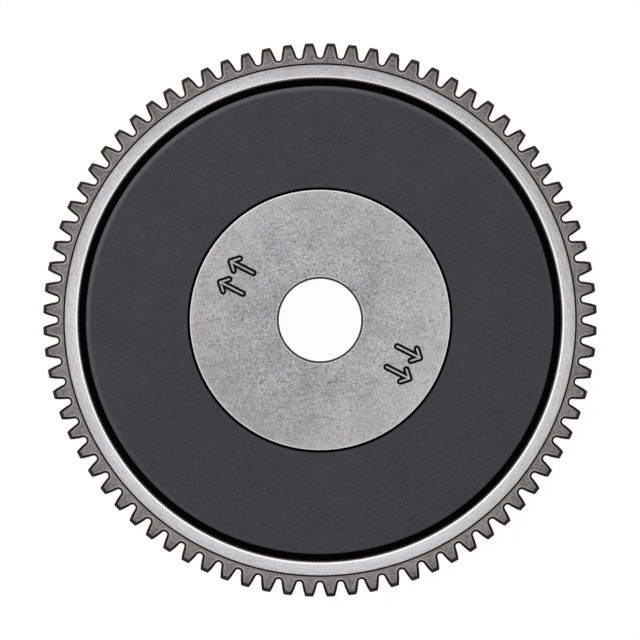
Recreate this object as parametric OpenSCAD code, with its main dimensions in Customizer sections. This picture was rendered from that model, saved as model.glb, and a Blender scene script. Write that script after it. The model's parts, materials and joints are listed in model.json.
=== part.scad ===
// Gear wheel of a worm drive: a steel rim with 80 straight involute teeth, a moulded dark
// web and a steel hub with a plain bore. Millimetres. The axis is Z and the middle of the
// bore is the origin. The marked face looks to +Z, and both faces have the same form.

/* [Toothing] */
// Number of teeth
teeth = 80; // [70:1:100]
// Module, the pitch diameter divided by the number of teeth
tooth_module = 2; // [1.75:0.05:2.5]
// Pressure angle of the involute flanks, in degrees
pressure_angle = 16.5; // [15.5:0.5:20]
// Tooth thickness on the pitch circle, as a share of the pitch
tooth_share = 0.58; // [0.48:0.01:0.6]
// Width of the teeth along the axis
tooth_w = 20; // [14:0.5:30]
// Radius of the fillets in the tooth roots, as far as the tooth spaces have room for it
root_fillet = 0.85; // [0.3:0.05:1.2]
// Bevel on the outer corners of the teeth
tip_bevel = 1.2; // [0.2:0.05:1.5]
// Radius of the rounded corners between the flanks and the tips
tip_round = 0.4; // [0.1:0.05:0.5]

/* [Rim] */
// Plain band between the tooth roots and the fine groove
shelf_w = 1.65; // [0.8:0.05:4]
// Width of the fine groove at the foot of the land
scribe_w = 0.45; // [0.2:0.05:1]
// Depth of the fine groove below the tooth faces
scribe_d = 0.3; // [0.1:0.05:1]
// Radial width of the bright turned land
land_w = 3.9; // [2:0.1:8]
// Height of the land above the tooth faces
land_h = 0.3; // [0.1:0.05:1.5]
// Bevel on the inner edges of the land
land_bevel = 0.4; // [0.1:0.05:1]
// Width of the open groove between the land and the web
groove_w = 2.35; // [1:0.05:5]

/* [Web] */
// Depth of the web's faces below the tooth faces
web_inset = 0; // [0:0.1:2]
// Radial width of the web's rounded outer edges
web_edge_w = 1.9; // [0.3:0.1:3]
// Depth to which those edges fall away
web_edge_d = 0.7; // [0.2:0.1:2]
// Width of the open seam between the hub and the web
seam_w = 0.7; // [0.2:0.05:1.5]
// Depth of the open seam
seam_d = 2; // [0.5:0.5:4]

/* [Hub] */
// Diameter of the hub's faces
hub_d = 77; // [60:0.5:90]
// Width of the hub along the axis
hub_w = 22; // [14:0.5:36]
// Bevel round the hub's faces
hub_bevel = 0.3; // [0.1:0.05:1.5]
// Diameter of the bore
bore_d = 25; // [10:0.5:45]
// Bevel at both ends of the bore
bore_bevel = 0.2; // [0.1:0.05:2]

/* [Locking ribs] */
// Thickness of the ribs that hold the rim and the hub in the web
rib_t = 6; // [3:0.5:10]
// Depth of the rim's rib in the web
rim_rib = 4; // [1:0.5:7]
// Depth of the hub's rib in the web
hub_rib = 4; // [1:0.5:7]

/* [Hidden] */
$fn = 180;

// Tooth heights above and below the pitch circle, in modules
addendum = 1;
dedendum = 1.2;
// Largest fillet, as a share of the one that would round a whole root
fillet_limit = 0.97;
// Straight steps along one fillet, one flank, one tip corner and one rounded edge
fillet_steps = 4;
flank_steps = 4;
corner_steps = 3;
round_steps = 6;
// Length by which the turned blank runs past the tips, and the tooth outline past its faces
tip_overrun = 0.5;
face_overrun = 1;

// Circles of the toothing
pitch_r = teeth * tooth_module / 2;
tip_r = pitch_r + addendum * tooth_module;
root_r = pitch_r - dedendum * tooth_module;
base_r = pitch_r * cos(pressure_angle);

// Radii of the turned rim, from the tooth roots inwards
shelf_in_r = root_r - shelf_w;
land_out_r = shelf_in_r - scribe_w;
land_in_r = land_out_r - land_w;
web_r = land_in_r - groove_w;
rim_rib_r = web_r - rim_rib;

// Radii of the hub, from the bore outwards
bore_r = bore_d / 2;
hub_r = hub_d / 2;
seam_r = hub_r + seam_w;
hub_rib_r = hub_r + hub_rib;

// Heights above the middle plane
tooth_z = tooth_w / 2;
land_z = tooth_z + land_h;
web_z = tooth_z - web_inset;
hub_z = hub_w / 2;
rib_z = rib_t / 2;
seam_floor_z = max(rib_z, web_z - seam_d);

// Angle in degrees that an involute has turned through when it reaches the radius r
function roll(r) = sqrt(pow(r / base_r, 2) - 1);
function involute(r) = roll(r) * 180 / PI - atan(roll(r));

// Half the angle that a tooth takes at the radius r
half_pitch = 180 / teeth;
base_half = tooth_share * half_pitch + involute(pitch_r);
function half_tooth(r) = base_half - involute(r);

// Fillet that would round a whole root, found by repeated substitution
function full_round(r, n) =
    n == 0 ? r : full_round(base_r * (half_pitch - half_tooth(root_r + r)) * PI / 180, n - 1);
fillet_r = min(root_fillet, fillet_limit * full_round(0, 8));

function polar(r, a) = [r * cos(a), r * sin(a)];
function mirror_y(p) = [p.x, -p.y];

// Directions from one to the other in even steps, and the points of an arc in those directions
function spread(from, to, steps) = [for (i = [0 : steps]) from + (to - from) * i / steps];
function arc(middle, r, from, to, steps) =
    [for (a = spread(from, to, steps)) middle + polar(r, a)];

// A curve parallel to an involute is the same involute turned round its base circle. So an arc
// that is tangent to the flank has its middle on such a curve, offset by the arc's radius: out
// of the tooth for the fillet, and into it, as a negative offset, for the corner of the tip.
function mid_half(mid_r, offset) = half_tooth(mid_r) + offset / base_r * 180 / PI;
function touch_roll(mid_r, offset) = roll(mid_r) - offset / base_r;
function touch_r(mid_r, offset) = base_r * sqrt(1 + pow(touch_roll(mid_r, offset), 2));
function touch_turn(mid_r, offset) = 90 - base_half + touch_roll(mid_r, offset) * 180 / PI;

// One side of a tooth that points along X: the fillet from the root, the flank and the corner
low_r = root_r + fillet_r;
low_half = mid_half(low_r, fillet_r);
high_r = tip_r - tip_round;
high_half = mid_half(high_r, -tip_round);
flank_start_r = touch_r(low_r, fillet_r);
flank_end_r = touch_r(high_r, -tip_round);
fillet_side =
    arc(polar(low_r, -low_half), fillet_r, 180 - low_half, touch_turn(low_r, fillet_r), fillet_steps);
flank_side = [
    for (i = [1 : flank_steps - 1])
        let (r = flank_start_r + (flank_end_r - flank_start_r) * i / flank_steps)
        polar(r, -half_tooth(r))
];
corner_side = arc(
    polar(high_r, -high_half), tip_round, touch_turn(high_r, -tip_round) - 180, -high_half, corner_steps
);
tooth_side = concat(fillet_side, flank_side, corner_side);

// A list of points followed by its own mirror image, in reverse
function with_mirror(side) =
    concat(side, [for (i = [len(side) - 1 : -1 : 0]) mirror_y(side[i])]);

// Point p turned round the axis
function turned(p, a) = [p.x * cos(a) - p.y * sin(a), p.x * sin(a) + p.y * cos(a)];

// Outline of all the teeth, with a tooth space on the X axis
module gear_outline() {
    tooth = with_mirror(tooth_side);
    polygon([
        for (k = [0 : teeth - 1])
            for (p = tooth)
                turned(p, (2 * k + 1) * half_pitch)
    ]);
}

// Half sections list their corners above the middle plane, and the lower half mirrors them
module turned_body(half_section) {
    rotate_extrude()
        polygon(with_mirror(half_section));
}

// Blank of the rim, with the land, the fine groove, the bevelled tips and the locking rib
module rim_blank() {
    turned_body([
        [rim_rib_r, rib_z],
        [land_in_r, rib_z],
        [land_in_r, land_z - land_bevel],
        [land_in_r + land_bevel, land_z],
        [land_out_r, land_z],
        [land_out_r, tooth_z - scribe_d],
        [shelf_in_r, tooth_z - scribe_d],
        [shelf_in_r, tooth_z],
        [tip_r - tip_bevel, tooth_z],
        [tip_r + tip_overrun, tooth_z - tip_bevel - tip_overrun]
    ]);
}

module toothed_rim() {
    color([0.56, 0.54, 0.52])
        intersection() {
            rim_blank();
            linear_extrude(height = 2 * (land_z + face_overrun), center = true)
                gear_outline();
        }
}

// The web fills the space between the ribs, with rounded outer edges
module web() {
    color([0.24, 0.25, 0.27])
        turned_body(concat(
            [
                [hub_rib_r, rib_z],
                [hub_r, rib_z],
                [hub_r, seam_floor_z],
                [seam_r, seam_floor_z],
                [seam_r, web_z]
            ],
            [
                for (a = spread(90, 0, round_steps))
                    [web_r - web_edge_w * (1 - cos(a)), web_z - web_edge_d * (1 - sin(a))]
            ],
            [
                [web_r, rib_z],
                [rim_rib_r, rib_z]
            ]
        ));
}

module hub() {
    color([0.65, 0.65, 0.65])
        turned_body([
            [bore_r, hub_z - bore_bevel],
            [bore_r + bore_bevel, hub_z],
            [hub_r - hub_bevel, hub_z],
            [hub_r, hub_z - hub_bevel],
            [hub_r, rib_z],
            [hub_rib_r, rib_z]
        ]);
}

toothed_rim();
web();
hub();
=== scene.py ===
"""Dressed model of the gear wheel: a toothed steel rim, a dark moulded web and a steel hub."""
import json
import math

import bmesh
import bpy
from mathutils import Matrix, Vector
from mathutils.geometry import tessellate_polygon


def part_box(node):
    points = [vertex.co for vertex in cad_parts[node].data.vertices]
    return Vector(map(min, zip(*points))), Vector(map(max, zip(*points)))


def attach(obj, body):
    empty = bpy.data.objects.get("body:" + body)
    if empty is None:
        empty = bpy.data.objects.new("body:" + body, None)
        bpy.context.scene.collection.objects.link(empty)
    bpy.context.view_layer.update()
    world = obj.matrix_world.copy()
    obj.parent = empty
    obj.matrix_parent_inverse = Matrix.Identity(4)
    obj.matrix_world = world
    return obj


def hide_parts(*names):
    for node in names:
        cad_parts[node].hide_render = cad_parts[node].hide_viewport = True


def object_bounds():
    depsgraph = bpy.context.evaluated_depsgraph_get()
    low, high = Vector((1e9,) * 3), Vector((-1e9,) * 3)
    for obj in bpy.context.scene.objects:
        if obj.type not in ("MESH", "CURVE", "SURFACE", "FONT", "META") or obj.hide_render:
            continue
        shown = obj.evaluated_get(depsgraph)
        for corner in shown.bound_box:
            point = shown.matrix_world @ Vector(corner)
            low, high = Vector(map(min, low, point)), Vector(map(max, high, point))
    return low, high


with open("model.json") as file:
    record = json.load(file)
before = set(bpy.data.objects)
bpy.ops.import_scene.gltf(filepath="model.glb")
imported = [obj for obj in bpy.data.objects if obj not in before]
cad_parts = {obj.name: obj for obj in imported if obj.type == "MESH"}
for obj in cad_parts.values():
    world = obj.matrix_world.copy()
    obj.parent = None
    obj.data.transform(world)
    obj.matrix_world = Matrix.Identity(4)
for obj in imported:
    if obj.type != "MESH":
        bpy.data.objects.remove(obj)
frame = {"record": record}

cad_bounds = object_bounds()
scene = bpy.context.scene

# Lengths are in millimetres, apart from those of the stage, and MM turns them into metres
MM = 0.001
# Corners that are nearer to each other than this many metres are one corner
SAME_PLACE = 1e-7

# Sizes read from the frame
LAND_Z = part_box("toothed_rim")[1].z / MM
WEB_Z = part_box("web")[1].z / MM
HUB_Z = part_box("hub")[1].z / MM
BORE_R = next(m["dims"]["r_mm"] for m in frame["record"]["mounts"] if m["name"] == "bore")

# Toothing, with the values of the CAD model. The tooth heights are in modules
TEETH = 80
MODULE = 2.0
PRESSURE_ANGLE = math.radians(16.5)
TOOTH_SHARE = 0.58
ADDENDUM = 1
DEDENDUM = 1.2
ROOT_FILLET = 0.85
TIP_ROUND = 0.4
TIP_BEVEL = 1.2
HALF_PITCH = math.pi / TEETH
PITCH_R = TEETH * MODULE / 2
TIP_R = PITCH_R + ADDENDUM * MODULE
ROOT_R = PITCH_R - DEDENDUM * MODULE
BASE_R = PITCH_R * math.cos(PRESSURE_ANGLE)
CREASE_R = TIP_R - TIP_BEVEL

# Rim, from the tooth roots inwards: plain band, fine line, raised land and open groove
LAND_H = 0.3
SHELF_W = 1.65
SCRIBE_W = 0.45
SCRIBE_D = 0.3
LAND_W = 3.9
GROOVE_W = 2.35
TOOTH_Z = LAND_Z - LAND_H
SHELF_R = ROOT_R - SHELF_W
LAND_OUT_R = SHELF_R - SCRIBE_W
LAND_IN_R = LAND_OUT_R - LAND_W

# Outer corner of the land, and the gentle bevel with a painted highlight and the steeper foot of
# its inner edge
LAND_CORNER = 0.1
LAND_EDGE_W = 0.62
LAND_EDGE_D = 0.1
LAND_FOOT_W = 0.18
LAND_FOOT_D = 0.26

# Web, with its rounded outer edge and the open seam round the hub
WEB_R = LAND_IN_R - GROOVE_W
WEB_EDGE_W = 1.9
WEB_EDGE_D = 0.7
SEAM_W = 0.7
SEAM_D = 2
SEAM_EDGE = 0.2

# Hub, with its bright edge, the steeper corner outside it and the bevels of the bore
HUB_R = 38.5
HUB_EDGE_W = 0.42
HUB_EDGE_D = 0.12
HUB_CORNER_W = 0.12
HUB_CORNER_D = 0.5
BORE_BEVEL = 0.24
SEAM_R = HUB_R + SEAM_W

# Ribs that lock the rim and the hub in the web
RIB_Z = 3
RIM_RIB = 4
HUB_RIB = 4
RIM_RIB_R = WEB_R - RIM_RIB
HUB_RIB_R = HUB_R + HUB_RIB

# Chamfer round each tooth, from its roots to its tip, dark with painted shade, and the line inside
# it with a painted highlight
ROOT_BREAK = 0.7
TIP_BREAK = 0.86
EDGE_DROP = 0.3
LIP_W = 0.3

# Engraved arrow marks on the hub's upper face
MARK_R = 27.6
MARK_ANGLE = math.radians(153)
ARROW_LENGTH = 7.5
ARROW_BARB = 2.0
ARROW_SPACING = 6.85
STROKE_OUT = 1.02
STROKE_IN = 0.25
STROKE_DEPTH = 0.35
STROKE_EDGE = 0.05

# Straight steps along arcs and flanks, and the angle past which an edge stays sharp
FILLET_STEPS = 8
FLANK_STEPS = 5
TIP_STEPS = 5
ROUND_STEPS = 10
CAP_STEPS = 12
WHEEL_STEPS = 320
BORE_STEPS = 128
SHARP = math.radians(20)


def polar(r, a):
    return Vector((r * math.cos(a), r * math.sin(a)))


def angle_of(p):
    return math.atan2(p.y, p.x)


def spread(first, last, steps):
    """Values from first to last in even steps."""
    return [first + (last - first) * i / steps for i in range(steps + 1)]


# Tooth outline


def roll(r):
    """Angle that an involute has rolled through at radius r."""
    return math.sqrt((r / BASE_R) ** 2 - 1)


def rolled_radius(rolled):
    """Radius at which an involute has rolled through an angle."""
    return BASE_R * math.hypot(1, rolled)


def involute(r):
    return roll(r) - math.atan(roll(r))


BASE_HALF = TOOTH_SHARE * HALF_PITCH + involute(PITCH_R)


def half_tooth(r, depth=0):
    """Half the angle that a tooth takes at radius r, with its flanks moved inwards by depth."""
    return BASE_HALF - involute(r) - depth / BASE_R


def flank_angle(rolled):
    """Direction that points into the tooth from its flank, where the involute has rolled so far."""
    return math.pi / 2 - BASE_HALF + rolled


def root_fillet():
    """Points of the fillet with their inward normals, and the radius where the flank takes over."""
    middle_r = ROOT_R + ROOT_FILLET
    half = half_tooth(middle_r, -ROOT_FILLET)
    rolled = roll(middle_r) - ROOT_FILLET / BASE_R
    centre = polar(middle_r, -half)
    turns = spread(math.pi - half, flank_angle(rolled), FILLET_STEPS)
    points = [(centre + polar(ROOT_FILLET, t), polar(1, t)) for t in turns]
    return points, rolled_radius(rolled)


def tip_round():
    """The same for the rounded corner between the flank and the tip."""
    middle_r = TIP_R - TIP_ROUND
    half = half_tooth(middle_r, TIP_ROUND)
    rolled = roll(middle_r) + TIP_ROUND / BASE_R
    centre = polar(middle_r, -half)
    turns = spread(flank_angle(rolled) - math.pi, -half, TIP_STEPS)
    points = [(centre + polar(TIP_ROUND, t), -polar(1, t)) for t in turns]
    return points, rolled_radius(rolled)


def tooth_outline():
    """One tooth along +X, from the middle of a tooth space to just before the next one."""
    fillet, low_r = root_fillet()
    corner, high_r = tip_round()
    inner_steps = spread(low_r, high_r, FLANK_STEPS)[1:-1]
    flank = [(polar(r, -half_tooth(r)), polar(1, flank_angle(roll(r)))) for r in inner_steps]
    side = fillet + flank + corner
    mirrored = [(Vector((p.x, -p.y)), Vector((n.x, -n.y))) for p, n in reversed(side)]
    gap = (polar(ROOT_R, -HALF_PITCH), -polar(1, -HALF_PITCH))
    tip = (Vector((TIP_R, 0)), Vector((-1, 0)))
    return [gap] + side + [tip] + mirrored


def inset(p, n, depth):
    """Outline point p moved into the tooth by depth, and kept inside the inset flanks and tip."""
    q = p + n * depth
    limit = TIP_R - depth
    if max(p.length, q.length) < limit:
        return q
    half = half_tooth(limit, depth)
    return polar(limit, max(-half, min(half, angle_of(p))))


def face_height(r):
    """Height of the tooth face, which falls away on the bevel of the tips."""
    return TOOTH_Z - max(0, r - CREASE_R)


def tooth_column(p, n):
    """Points over the tooth face from the shelf to the wall, for one point of the outline."""
    # Width of the chamfer that carries painted shade, growing from the roots to the tip
    shaded_edge = ROOT_BREAK + (TIP_BREAK - ROOT_BREAK) * (p.length - ROOT_R) / (TIP_R - ROOT_R)
    top = inset(p, n, shaded_edge)
    bright = inset(p, n, shaded_edge + LIP_W)
    lip, crease = (polar(min(q.length, CREASE_R), angle_of(q)) for q in (bright, top))
    start_r = (SHELF_R + ROOT_R - ROOT_BREAK - LIP_W) / 2
    return [
        (polar(start_r, angle_of(lip)), TOOTH_Z),
        (lip, TOOTH_Z),
        (crease, TOOTH_Z),
        (top, face_height(top.length)),
        (p, face_height(p.length) - EDGE_DROP),
    ]


# Mesh helpers


def add_vert(bm, p, z):
    return bm.verts.new((p.x * MM, p.y * MM, z * MM))


def add_face(bm, corners, slot):
    """A face through the corners, without those that lie on each other."""
    kept = []
    for v in corners:
        if all((v.co - k.co).length > SAME_PLACE for k in kept):
            kept.append(v)
    if len(kept) > 2:
        bm.faces.new(kept).material_index = slot


def join_rings(bm, low, high, slot):
    """Faces between two rings of as many points."""
    for i in range(len(low)):
        j = (i + 1) % len(low)
        add_face(bm, [low[i], low[j], high[j], high[i]], slot)


def zip_rings(bm, one, two, slot):
    """Triangles between two rings with other numbers of points, both in order of their angle."""
    turns = [[angle_of(v.co) for v in ring] for ring in (one, two)]
    turns = [[(t - ring[0]) % math.tau for t in ring] + [math.tau] for ring in turns]
    i = j = 0
    while i < len(one) or j < len(two):
        if j == len(two) or (i < len(one) and turns[0][i + 1] <= turns[1][j + 1]):
            corners = [one[i], one[(i + 1) % len(one)], two[j % len(two)]]
            i += 1
        else:
            corners = [one[i % len(one)], two[(j + 1) % len(two)], two[j]]
            j += 1
        add_face(bm, corners, slot)


def add_circle(bm, r, z, steps):
    return [add_vert(bm, polar(r, math.tau * i / steps), z) for i in range(steps)]


def lathe(bm, profile, slots, steps):
    """Rings along a profile of (radius, height) corners, joined as far as there are slots.

    Each stretch from one corner to the next has its material slot, and the last may close the loop.
    """
    rings = [add_circle(bm, r, z, steps) for r, z in profile]
    for k, slot in enumerate(slots):
        join_rings(bm, rings[k], rings[(k + 1) % len(rings)], slot)
    return rings


def both_sides(upper):
    """A profile above the middle plane, followed by its mirror image."""
    return upper + [(r, -z) for r, z in reversed(upper)]


def fill(bm, loops, slot):
    """A flat face inside the first loop of vertices and outside the others."""
    verts = [v for loop in loops for v in loop]
    for triangle in tessellate_polygon([[v.co for v in loop] for loop in loops]):
        add_face(bm, [verts[i] for i in triangle], slot)


def make_piece(name, bm, materials, node):
    """Turns the mesh into a piece that stands for a CAD node."""
    bmesh.ops.remove_doubles(bm, verts=bm.verts, dist=SAME_PLACE)
    bmesh.ops.recalc_face_normals(bm, faces=bm.faces)
    for f in bm.faces:
        f.smooth = True
    for e in bm.edges:
        one_surface = len({f.material_index for f in e.link_faces}) == 1
        e.smooth = one_surface and e.calc_face_angle(0) < SHARP
    mesh = bpy.data.meshes.new(name)
    bm.to_mesh(mesh)
    bm.free()
    for m in materials:
        mesh.materials.append(m)
    piece = bpy.data.objects.new(name, mesh)
    scene.collection.objects.link(piece)
    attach(piece, "root")
    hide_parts(node)


# Material helpers


class Graph:
    """Short names for the nodes of one material. Its lengths are in millimetres."""

    def __init__(self, name, roughness, metallic=0.0, specular=0.5):
        self.material = bpy.data.materials.new(name)
        self.material.use_nodes = True
        self.nodes = self.material.node_tree.nodes
        self.links = self.material.node_tree.links
        self.shader = self.nodes["Principled BSDF"]
        self.shader.inputs["Metallic"].default_value = metallic
        self.shader.inputs["Specular IOR Level"].default_value = specular
        self.shader.inputs["Roughness"].default_value = roughness
        place = self.nodes.new("ShaderNodeTexCoord").outputs["Object"]
        self.place = self.vector("SCALE", place, scale=1 / MM)

    def put(self, socket, value):
        if isinstance(value, bpy.types.NodeSocket):
            self.links.new(value, socket)
        else:
            socket.default_value = value

    def colour(self, value):
        self.put(self.shader.inputs["Base Color"], value)

    def vector(self, operation, a, b=None, scale=None):
        node = self.nodes.new("ShaderNodeVectorMath")
        node.operation = operation
        self.put(node.inputs[0], a)
        if b is not None:
            self.put(node.inputs[1], b)
        if scale is not None:
            self.put(node.inputs["Scale"], scale)
        return node.outputs["Value" if operation in ("LENGTH", "DOT_PRODUCT") else "Vector"]

    def math(self, operation, a, b=0.0):
        node = self.nodes.new("ShaderNodeMath")
        node.operation = operation
        self.put(node.inputs[0], a)
        self.put(node.inputs[1], b)
        return node.outputs[0]

    def total(self, *pairs):
        """Sum of values that are each multiplied by their weight."""
        parts = [self.math("MULTIPLY", value, weight) for value, weight in pairs]
        while len(parts) > 1:
            parts.append(self.math("ADD", parts.pop(0), parts.pop(0)))
        return parts[0]

    def noise(self, place, size, detail=2.0, roughness=0.5):
        """Noise round 0 whose features are about size millimetres wide."""
        node = self.nodes.new("ShaderNodeTexNoise")
        self.put(node.inputs["Vector"], place)
        self.put(node.inputs["Scale"], 1 / size)
        self.put(node.inputs["Detail"], detail)
        self.put(node.inputs["Roughness"], roughness)
        return self.math("SUBTRACT", node.outputs["Fac"], 0.5)

    def steps(self, value, low, high, to_low=0.0, to_high=1.0):
        """Maps low..high to to_low..to_high, and holds the ends."""
        node = self.nodes.new("ShaderNodeMapRange")
        for socket, given in zip(node.inputs[:5], (value, low, high, to_low, to_high)):
            self.put(socket, given)
        return node.outputs["Result"]

    def mix(self, factor, a, b):
        node = self.nodes.new("ShaderNodeMix")
        node.data_type = "RGBA"
        self.put(node.inputs["Factor"], factor)
        self.put(node.inputs["A"], a)
        self.put(node.inputs["B"], b)
        return node.outputs["Result"]

    def shade(self, tone, reach, dark, pale):
        """Colours from dark to pale as the tone goes from -reach to reach."""
        return self.mix(self.steps(tone, -reach, reach), dark, pale)

    def thin_lines(self, value, width):
        """1 where the value passes through 0, fading to 0 over the width on both sides."""
        return self.steps(self.math("ABSOLUTE", value), 0, width, 1, 0)

    def bump(self, height, distance):
        """Bumps that follow the height pattern and are as high as the distance."""
        node = self.nodes.new("ShaderNodeBump")
        node.inputs["Distance"].default_value = distance * MM
        self.put(node.inputs["Height"], height)
        self.links.new(node.outputs["Normal"], self.shader.inputs["Normal"])

    def radius(self):
        return self.vector("LENGTH", self.vector("MULTIPLY", self.place, (1, 1, 0)))

    def height(self):
        return self.vector("DOT_PRODUCT", self.place, (0, 0, 1))

    def toward(self, degrees, reach):
        """From -1 to 1 over the reach on both sides of the axis, in one direction."""
        a = math.radians(degrees)
        return self.vector("DOT_PRODUCT", self.place, (math.cos(a) / reach, math.sin(a) / reach, 0))

    def turning(self, along):
        """Coordinates for turning marks: the radius, and a turn that is stretched by along."""
        flat = self.vector("NORMALIZE", self.vector("MULTIPLY", self.place, (1, 1, 0)))
        ring = self.vector("SCALE", (0, 0, 1), scale=self.radius())
        return self.vector("ADD", self.vector("SCALE", flat, scale=along), ring)

    def scored(self, degrees, along):
        """Coordinates for straight marks in one direction, stretched by along."""
        x = self.vector("SCALE", (1, 0, 0), scale=self.toward(degrees, along))
        y = self.vector("SCALE", (0, 1, 0), scale=self.toward(degrees + 90, 1))
        return self.vector("ADD", x, y)


def grey(level, warm=0.0, pink=0.0):
    """A colour from its 8-bit sRGB level, made warmer by warm and less green by pink."""

    def linear(v):
        v = v / 255
        return v / 12.92 if v <= 0.04045 else ((v + 0.055) / 1.055) ** 2.4

    return (linear(level + warm), linear(level - pink), linear(level - warm), 1.0)


def matte_material(name, size, dark, pale):
    """A dull dark finish with a fine mottle."""
    g = Graph(name, roughness=0.8, specular=0.1)
    mottle = g.noise(g.place, size)
    g.colour(g.shade(mottle, 0.3, dark, pale))
    return g.material


# Painted shade: black for the open groove and for the seam round the hub
def groove_shade_material():
    return matte_material("groove_painted_shade", size=0.8, dark=grey(4, 0.5), pale=grey(11, 0.5))


# Materials of the rim


def tooth_face_material():
    """Dull steel, brighter and browner on the plain band inside the tooth roots, with painted light
    towards the lower side of the picture.
    """
    g = Graph("tooth_face", roughness=0.5, metallic=0.6)
    mottle = g.noise(g.place, size=0.6, detail=3, roughness=0.65)
    broad = g.noise(g.place, size=7)
    streak = g.noise(g.turning(along=14), size=0.35)
    radius = g.radius()
    outwards = g.steps(radius, SHELF_R, CREASE_R, 0.08, -0.3)
    band_margin = 0.4
    band = g.steps(radius, SHELF_R + band_margin, ROOT_R - band_margin, 1, 0)
    tone = g.total(
        (mottle, 3.1),
        (broad, 1.3),
        (streak, 0.8),
        (outwards, 1),
        (band, 0.12),
        # Painted light: lighter towards the lower side of the picture
        (g.toward(270, reach=PITCH_R), 0.12),
    )
    steel = g.shade(tone, reach=0.6, dark=grey(88, 2.4, 0.9), pale=grey(143, 2.7, 0.9))
    brown = grey(118, 9)
    g.colour(g.mix(g.math("MULTIPLY", band, 0.25), steel, brown))
    g.bump(g.total((streak, 1), (mottle, 1)), distance=0.01)
    return g.material


def tooth_lip_highlight_material():
    """Painted highlight on the line inside each tooth's chamfer, brightest in the tooth roots, and
    fading along the flanks.
    """
    g = Graph("tooth_lip", roughness=0.5, metallic=0.6)
    mottle = g.noise(g.place, size=0.9, detail=3)
    # Painted highlight, strongest in the roots and a little towards the upper left
    root = g.steps(g.radius(), ROOT_R - 1, ROOT_R + 3, 0.38, -0.3)
    tone = g.total((mottle, 0.5), (root, 1), (g.toward(140, reach=PITCH_R), 0.08))
    g.colour(g.shade(tone, reach=0.5, dark=grey(106, 2.9, 0.2), pale=grey(173, 4.7, 0.2)))
    return g.material


def tooth_edge_shade_material():
    """Painted shade on the chamfer of each tooth, made lighter by painted light in the tooth roots
    and on the upper side of the picture.
    """
    g = Graph("tooth_edge", roughness=0.6, metallic=0.8, specular=0.3)
    upper = g.toward(100, reach=PITCH_R)
    tone = g.total((g.noise(g.place, size=0.7, detail=3), 1), (upper, 0.2))
    shaded_edge = g.shade(tone, reach=0.3, dark=grey(14, 4), pale=grey(40, 7))
    root = g.shade(upper, reach=1, dark=grey(28, 4.5), pale=grey(64, 7))
    g.colour(g.mix(g.steps(g.radius(), ROOT_R - 0.1, ROOT_R + 0.3), root, shaded_edge))
    return g.material


def tooth_flank_material():
    """Bright cut steel with streaks along the teeth."""
    g = Graph("tooth_flank", roughness=0.38, metallic=0.9)
    lengthwise = g.vector("MULTIPLY", g.place, (1.0, 1.0, 0.06))
    streak = g.noise(lengthwise, size=0.5, detail=3)
    mottle = g.noise(g.place, size=2.2, detail=3)
    tone = g.total((streak, 0.6), (mottle, 0.4))
    g.colour(g.shade(tone, reach=0.2, dark=grey(103, 3.7), pale=grey(148, 2.8)))
    g.bump(streak, distance=0.008)
    return g.material


def land_material():
    """Turned steel, with painted light that makes it brighter towards its inner edge and towards
    the lower side of the picture, and painted shade at its outer foot.
    """
    g = Graph("turned_land", roughness=0.35, metallic=0.7)
    fine = g.noise(g.turning(along=8), size=0.4, detail=3, roughness=0.65)
    cross = g.noise(g.place, size=0.6, detail=3, roughness=0.6)
    broad = g.noise(g.place, size=26, detail=0)
    radius = g.radius()
    foot_r = LAND_OUT_R - 0.6
    # Painted light towards the inner edge, painted shade at the outer foot, and painted light
    # towards the lower side of the picture
    slope_light = g.steps(radius, LAND_IN_R + LAND_EDGE_W, foot_r, 0.22, -0.14)
    foot = g.steps(radius, foot_r, LAND_OUT_R, 0, -0.25)
    tone = g.total(
        (fine, 1.2),
        (cross, 1.1),
        (broad, 0.4),
        (slope_light, 1),
        (foot, 1),
        (g.toward(266, reach=74), 0.22),
    )
    g.colour(g.shade(tone, reach=0.6, dark=grey(148, -0.7, 1.6), pale=grey(218, -0.7, 1.6)))
    g.bump(fine, distance=0.006)
    return g.material


def land_edge_highlight_material():
    """Edge of the land with a painted highlight, dullest on the upper side of the picture."""
    g = Graph("bright_edge", roughness=0.5, metallic=0.9)
    sideways = g.toward(0, reach=72)
    sides = g.math("MULTIPLY", sideways, sideways)
    mottle = g.noise(g.place, size=1.5)
    tone = g.total((mottle, 0.3), (g.toward(250, reach=72), 0.36), (sides, 0.4))
    g.colour(g.shade(tone, reach=0.5, dark=grey(215, 1.4), pale=grey(240)))
    return g.material


def rim_wall_material():
    """Brown turned steel with painted shade that turns it black down in the open groove."""
    g = Graph("rim_wall", roughness=0.6, metallic=0.3)
    mottle = g.noise(g.turning(along=20), size=0.5)
    steel = g.shade(mottle, reach=0.3, dark=grey(134, 6), pale=grey(160, 6))
    lit = g.steps(g.height(), LAND_Z - 6, LAND_Z - 0.5)
    g.colour(g.mix(lit, grey(4), steel))
    return g.material


# Painted shade: dark brown for the fine line between the teeth and the land
def scribe_shade_material():
    return matte_material("scribe_painted_shade", size=0.8, dark=grey(24, 10.9), pale=grey(37, 11.9))


# Materials of the web and the hub


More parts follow.
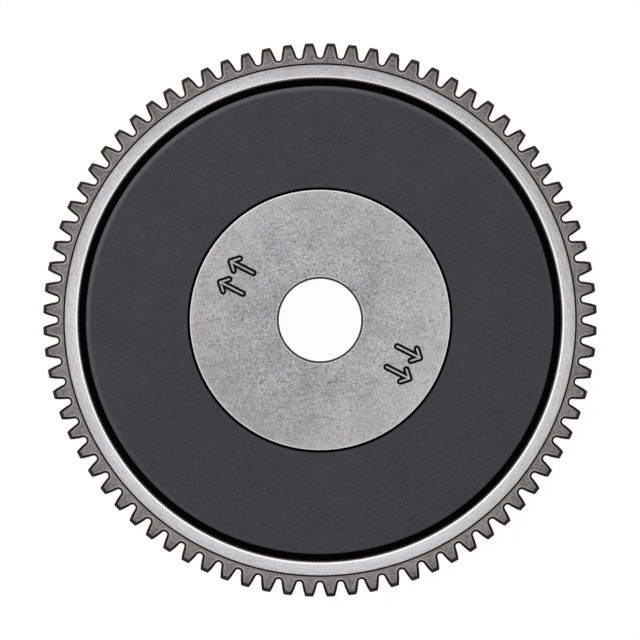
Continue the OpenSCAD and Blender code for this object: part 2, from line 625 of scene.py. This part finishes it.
def web_material():
    """Slate plastic, with painted highlights at the seam and on its rounded edge, most of all at
    the upper left.
    """
    g = Graph("web_slate", roughness=0.5, specular=0.3)
    broad = g.noise(g.place, size=14, detail=3)
    fine = g.noise(g.place, size=0.75, detail=3, roughness=0.6)
    cloud = g.noise(g.place, size=2.6, detail=1)
    radius = g.radius()
    # Painted highlight beside the seam, then a painted highlight on the rounded edge, strongest at
    # the upper left
    seam = g.steps(radius, SEAM_R, SEAM_R + 1.3, 0.35, 0)
    upper_left = g.math("POWER", g.steps(g.toward(125, reach=WEB_R), -1, 1), 2)
    lit = g.steps(upper_left, 0, 1, 0.3, 2.4)
    edge = g.math("MULTIPLY", g.steps(radius, WEB_R - 1.7, WEB_R - 0.7), lit)
    tone = g.total(
        (broad, 0.6),
        (cloud, 0.45),
        (fine, 1.6),
        (g.toward(100, reach=70), 0.05),
        (seam, 1),
        (edge, 1),
    )
    dark = (0.0175, 0.0186, 0.0228, 1)
    pale = (0.132, 0.135, 0.1445, 1)
    g.colour(g.mix(g.steps(tone, -0.6, 3.0), dark, pale))
    g.bump(fine, distance=0.02)
    return g.material


def hub_tone(g, grain, cloud):
    """The grain, with painted highlights on its margins, brighter outwards, a painted sheen in a
    soft band across the face and faint painted light towards one side.
    """
    radius = g.radius()
    # Painted highlights along the outer edge and round the bore
    outer_highlight = g.steps(radius, HUB_R - 2, HUB_R - 0.5, 0, 0.12)
    bore_highlight = g.steps(radius, BORE_R + 0.3, BORE_R + 0.8, 0.4, 0)
    outwards = g.steps(radius, 24, 37, 0, 0.08)
    # Painted sheen in a band across the face
    band = g.math("POWER", g.math("ABSOLUTE", g.toward(148, reach=31)), 2)
    return g.total(
        (grain, 2.1),
        (cloud, 0.65),
        (g.math("MAXIMUM", outer_highlight, bore_highlight), 1),
        (outwards, 1),
        (band, 0.12),
        # Painted light towards the right of the picture
        (g.toward(17, reach=25), 0.062),
    )


def hub_flaws(g, colour, cloud):
    """The colour with dark specks, pale hairlines and straight dark scratches."""
    crowd = g.total((g.noise(g.place, size=0.6, detail=0), 1), (cloud, 0.35))
    speck = g.steps(crowd, 0.22, 0.3, 0, 0.8)
    colour = g.mix(speck, colour, grey(91))
    part = g.noise(g.place, size=5, detail=0)
    hairline = g.thin_lines(g.noise(g.place, size=8, detail=1), width=0.008)
    hairline = g.math("MULTIPLY", hairline, g.steps(part, 0.03, 0.08, 0, 0.6))
    colour = g.mix(hairline, colour, grey(204))
    scratch = g.thin_lines(g.noise(g.scored(8, along=15), size=2.2, detail=1), width=0.014)
    scratch = g.math("MULTIPLY", scratch, g.steps(part, -0.1, -0.04, 0.5, 0))
    return g.mix(scratch, colour, grey(96))


def hub_material():
    """Fine-grained dull steel, with flaws and a faint patchy tint that grows outwards."""
    g = Graph("hub_face", roughness=0.5, metallic=0.6)
    grain = g.noise(g.place, size=0.45, detail=2, roughness=0.7)
    cloud = g.noise(g.place, size=11, detail=3)
    tone = hub_tone(g, grain, cloud)
    steel = g.shade(tone, reach=0.5, dark=grey(101, -0.8, 0.5), pale=grey(206, -0.8, 0.5))
    patch = g.noise(g.place, size=6, detail=2)
    tint = g.shade(patch, reach=0.12, dark=grey(151, -1, 0.5), pale=grey(164, 5.7, 0.5))
    tinted = g.steps(g.radius(), 20, HUB_R - 0.5, 0.06, 0.32)
    g.colour(g.mix(tinted, hub_flaws(g, steel, cloud), tint))
    g.bump(grain, distance=0.02)
    return g.material


def hub_edge_highlight_material():
    """Bright edge with a painted highlight, brightest on the upper side of the picture."""
    g = Graph("hub_edge", roughness=0.7, metallic=0.7, specular=0.2)
    tone = g.total((g.noise(g.place, size=1.0), 1), (g.toward(75, reach=HUB_R), 0.3))
    g.colour(g.shade(tone, reach=0.5, dark=grey(216, 1.4), pale=grey(243, 1)))
    return g.material


def bore_material():
    """Dark steel with turning marks, and painted shade that turns it black near both ends of the
    bore.
    """
    g = Graph("bore_wall", roughness=0.7, specular=0.05)
    crosswise = g.vector("MULTIPLY", g.place, (0.15, 0.15, 1))
    streak = g.noise(crosswise, size=0.5, detail=3)
    steel = g.shade(streak, reach=0.2, dark=grey(28, 1), pale=grey(68, 1))
    mouth_shade = g.steps(g.math("ABSOLUTE", g.height()), HUB_Z - 1.2, HUB_Z - BORE_BEVEL)
    g.colour(g.mix(mouth_shade, steel, grey(8, 1)))
    return g.material


def mark_material():
    return matte_material("engraved_black", size=0.5, dark=grey(5), pale=grey(18))


# Rim


def turned_teeth():
    """Columns of points round the whole rim."""
    outline = tooth_outline()
    for k in range(TEETH):
        turn = Matrix.Rotation((2 * k + 1) * HALF_PITCH, 2)
        for p, n in outline:
            yield [(turn @ q, z) for q, z in tooth_column(p, n)]


def add_tooth_faces(bm, columns, side, strips):
    """Rings over the teeth on the upper side, 1, or the lower side, -1, with strips of faces."""
    rings = [[add_vert(bm, p, side * z) for p, z in ring] for ring in zip(*columns)]
    for low, high, slot in zip(rings, rings[1:], strips):
        join_rings(bm, low, high, slot)
    return rings


def rim_half_section():
    """Corners from the shelf over the land to the rib, above the middle plane."""
    return [
        (SHELF_R, TOOTH_Z),
        (SHELF_R, TOOTH_Z - SCRIBE_D),
        (LAND_OUT_R, TOOTH_Z - SCRIBE_D),
        (LAND_OUT_R, LAND_Z - LAND_CORNER),
        (LAND_OUT_R - LAND_CORNER, LAND_Z),
        (LAND_IN_R + LAND_EDGE_W, LAND_Z),
        (LAND_IN_R + LAND_FOOT_W, LAND_Z - LAND_EDGE_D),
        (LAND_IN_R, LAND_Z - LAND_FOOT_D),
        (LAND_IN_R, RIB_Z),
        (RIM_RIB_R, RIB_Z),
    ]


def make_rim():
    bm = bmesh.new()
    # The lip and bright slots carry painted highlights, and the edge, wall, groove and scribe slots
    # painted shade
    face, lip, edge, flank, land, bright, wall, groove, scribe = range(9)
    columns = list(turned_teeth())
    upper, lower = (add_tooth_faces(bm, columns, side, (face, lip, edge, edge)) for side in (1, -1))
    join_rings(bm, upper[-1], lower[-1], flank)
    slots = [scribe, scribe, scribe, scribe, land, bright, wall, wall, groove]
    rings = lathe(bm, both_sides(rim_half_section()), slots + [groove] + slots[::-1], WHEEL_STEPS)
    zip_rings(bm, upper[0], rings[0], face)
    zip_rings(bm, lower[0], rings[-1], face)
    materials = [
        tooth_face_material(),
        tooth_lip_highlight_material(),
        tooth_edge_shade_material(),
        tooth_flank_material(),
        land_material(),
        land_edge_highlight_material(),
        rim_wall_material(),
        groove_shade_material(),
        scribe_shade_material(),
    ]
    make_piece("rim_dressed", bm, materials, "toothed_rim")


# Web


def web_edge():
    """Corners of the rounded outer edge, from the face down to the groove."""
    return [
        (WEB_R - WEB_EDGE_W * (1 - math.cos(a)), WEB_Z - WEB_EDGE_D * (1 - math.sin(a)))
        for a in spread(math.pi / 2, 0, ROUND_STEPS)
    ]


def make_web():
    bm = bmesh.new()
    slate, dark = range(2)
    seam = [
        (HUB_RIB_R, RIB_Z),
        (HUB_R, RIB_Z),
        (HUB_R, WEB_Z - SEAM_D),
        (SEAM_R, WEB_Z - SEAM_D),
    ]
    face = [
        (SEAM_R, WEB_Z - SEAM_EDGE),
        (SEAM_R + SEAM_EDGE, WEB_Z),
        *web_edge(),
        (WEB_R, RIB_Z),
    ]
    half = seam + face + [(RIM_RIB_R, RIB_Z)]
    # The seam and the groove faces take the groove material's painted shade
    slots = [dark] * len(seam) + [slate] * (len(face) - 1) + [dark]
    lathe(bm, both_sides(half), slots + [dark] + slots[::-1] + [dark], WHEEL_STEPS)
    make_piece("web_dressed", bm, [web_material(), groove_shade_material()], "web")


# Hub


def arrow_outline(half_width):
    """Outline of a round-ended arrow along +Y, whose strokes are 2 * half_width wide."""
    tip = Vector((0, ARROW_LENGTH))
    end = Vector((ARROW_BARB, ARROW_LENGTH - ARROW_BARB))
    inner_corner = Vector((half_width, ARROW_LENGTH - half_width * (1 + math.sqrt(2))))

    def arc(centre, first, last):
        turns = [math.radians(t) for t in spread(first, last, CAP_STEPS)]
        return [centre + polar(half_width, t) for t in turns]

    right = arc(Vector((0, 0)), -90, 0) + [inner_corner] + arc(end, 225, 405) + arc(tip, 45, 90)
    left = [Vector((-p.x, p.y)) for p in reversed(right[1:-1])]
    return right + left


def mark_places():
    """Two pairs of arrows side by side, which point outwards on opposite sides of the bore."""
    for turn in (MARK_ANGLE, MARK_ANGLE + math.pi):
        for side in (-0.5, 0.5):
            yield turn, side * ARROW_SPACING


def placed_arrow(half_width, turn, aside):
    """The outline at its place, moved aside across the direction in which it points."""
    along = polar(1, turn)
    across = polar(1, turn - math.pi / 2)
    middle = Vector((0, ARROW_LENGTH / 2))
    shifted = [p - middle for p in arrow_outline(half_width)]
    return [along * (MARK_R + p.y) + across * (p.x + aside) for p in shifted]


def add_marks(bm, face, mark):
    """Engraves the arrows, and returns the loops round the openings that they need in the face."""
    stroke = [
        (STROKE_OUT, HUB_Z),
        (STROKE_OUT - STROKE_EDGE, HUB_Z - STROKE_DEPTH),
        (STROKE_IN + STROKE_EDGE, HUB_Z - STROKE_DEPTH),
        (STROKE_IN, HUB_Z),
    ]
    loops = []
    for place in mark_places():
        rings = [[add_vert(bm, p, z) for p in placed_arrow(width, *place)] for width, z in stroke]
        for low, high in zip(rings, rings[1:]):
            join_rings(bm, low, high, mark)
        fill(bm, [rings[-1]], face)
        loops.append(rings[0])
    return loops


def make_hub():
    bm = bmesh.new()
    face, bright, bore, mark = range(4)
    # Both bevels and the wall of the bore. The middle two rings bound the hub's flat faces
    inner_half = [(BORE_R, HUB_Z - BORE_BEVEL), (BORE_R + BORE_BEVEL, HUB_Z)]
    inner = lathe(bm, both_sides(inner_half), [bore], BORE_STEPS)
    join_rings(bm, inner[2], inner[3], bore)
    join_rings(bm, inner[3], inner[0], bore)
    outer_half = [
        (HUB_R - HUB_EDGE_W, HUB_Z),
        (HUB_R - HUB_CORNER_W, HUB_Z - HUB_EDGE_D),
        (HUB_R, HUB_Z - HUB_CORNER_D),
        (HUB_R, RIB_Z),
        (HUB_RIB_R, RIB_Z),
    ]
    # The steep corner outside the bright edge takes the bore's material, with the painted shade
    # that makes it nearly black
    slots = [bright, bore, face, face]
    outer = lathe(bm, both_sides(outer_half), slots + [face] + slots[::-1], WHEEL_STEPS)
    fill(bm, [outer[0], inner[1]] + add_marks(bm, face, mark), face)
    fill(bm, [outer[-1], inner[2]], face)
    materials = [hub_material(), hub_edge_highlight_material(), bore_material(), mark_material()]
    make_piece("hub_dressed", bm, materials, "hub")


# Stage, with its lengths in metres

FLOOR_SIZE = 12.0
FLOOR_GAP = 0.02 * MM
FLOOR_GLOW = 0.975
FLOOR_PAINT = 1.0
AMBIENT = 0.544
KEY_PLACE = (-0.75, 0.9, 1.2)
KEY_SIZE = 3.0
KEY_POWER = 12
CAMERA_DISTANCE = 0.75
VIEW_WIDTH = 189.2 * MM


def seen_directly(nodes, links):
    """1 for rays from the camera and for mirrored or transmitted ones, and 0 for the rest."""
    path = nodes.new("ShaderNodeLightPath")
    total = path.outputs["Is Camera Ray"]
    for name in ("Is Glossy Ray", "Is Transmission Ray"):
        node = nodes.new("ShaderNodeMath")
        node.operation = "MAXIMUM"
        links.new(total, node.inputs[0])
        links.new(path.outputs[name], node.inputs[1])
        total = node.outputs[0]
    return total


def floor_material():
    """White paint that also glows by FLOOR_GLOW where it is seen or mirrored."""
    material = bpy.data.materials.new("floor_white")
    material.use_nodes = True
    nodes, links = material.node_tree.nodes, material.node_tree.links
    nodes.clear()
    diffuse = nodes.new("ShaderNodeBsdfDiffuse")
    diffuse.inputs["Color"].default_value = (FLOOR_PAINT, FLOOR_PAINT, FLOOR_PAINT, 1)
    glow = nodes.new("ShaderNodeEmission")
    mix = nodes.new("ShaderNodeMixShader")
    share = nodes.new("ShaderNodeMath")
    share.operation = "MULTIPLY"
    share.inputs[1].default_value = FLOOR_GLOW
    links.new(seen_directly(nodes, links), share.inputs[0])
    links.new(share.outputs[0], mix.inputs[0])
    links.new(diffuse.outputs[0], mix.inputs[1])
    links.new(glow.outputs[0], mix.inputs[2])
    links.new(mix.outputs[0], nodes.new("ShaderNodeOutputMaterial").inputs[0])
    return material


def make_floor():
    """A white floor that keeps a faint shadow of the object."""
    mesh = bpy.data.meshes.new("floor")
    h = FLOOR_SIZE / 2
    z = cad_bounds[0].z - FLOOR_GAP
    mesh.from_pydata([(-h, -h, z), (h, -h, z), (h, h, z), (-h, h, z)], [], [(0, 1, 2, 3)])
    mesh.materials.append(floor_material())
    floor = bpy.data.objects.new("floor", mesh)
    scene.collection.objects.link(floor)


def make_world():
    """White where it is seen or mirrored, and a softer light on the object."""
    world = bpy.data.worlds.new("studio")
    scene.world = world
    world.use_nodes = True
    nodes, links = world.node_tree.nodes, world.node_tree.links
    nodes.clear()
    strength = nodes.new("ShaderNodeMapRange")
    strength.inputs["To Min"].default_value = AMBIENT
    strength.inputs["To Max"].default_value = 1.0
    links.new(seen_directly(nodes, links), strength.inputs["Value"])
    background = nodes.new("ShaderNodeBackground")
    background.inputs["Color"].default_value = (1, 1, 1, 1)
    links.new(strength.outputs[0], background.inputs["Strength"])
    links.new(background.outputs[0], nodes.new("ShaderNodeOutputWorld").inputs[0])


def make_lamp():
    """A large soft lamp above the upper left, aimed at the origin."""
    light = bpy.data.lights.new("key", "AREA")
    light.shape = "DISK"
    light.size = KEY_SIZE
    light.energy = KEY_POWER
    lamp = bpy.data.objects.new("key", light)
    lamp.location = KEY_PLACE
    lamp.rotation_euler = (-Vector(KEY_PLACE)).to_track_quat("-Z", "Y").to_euler()
    scene.collection.objects.link(lamp)


def make_camera():
    """Looks straight down the axis, with the picture's up along +Y."""
    data = bpy.data.cameras.new("camera")
    data.lens = data.sensor_width * CAMERA_DISTANCE / VIEW_WIDTH
    camera = bpy.data.objects.new("camera", data)
    camera.location = (0, 0, CAMERA_DISTANCE + TOOTH_Z * MM)
    scene.collection.objects.link(camera)
    scene.camera = camera


make_camera()
make_floor()
make_world()
make_lamp()
make_rim()
make_web()
make_hub()
scene.view_settings.view_transform = "Standard"
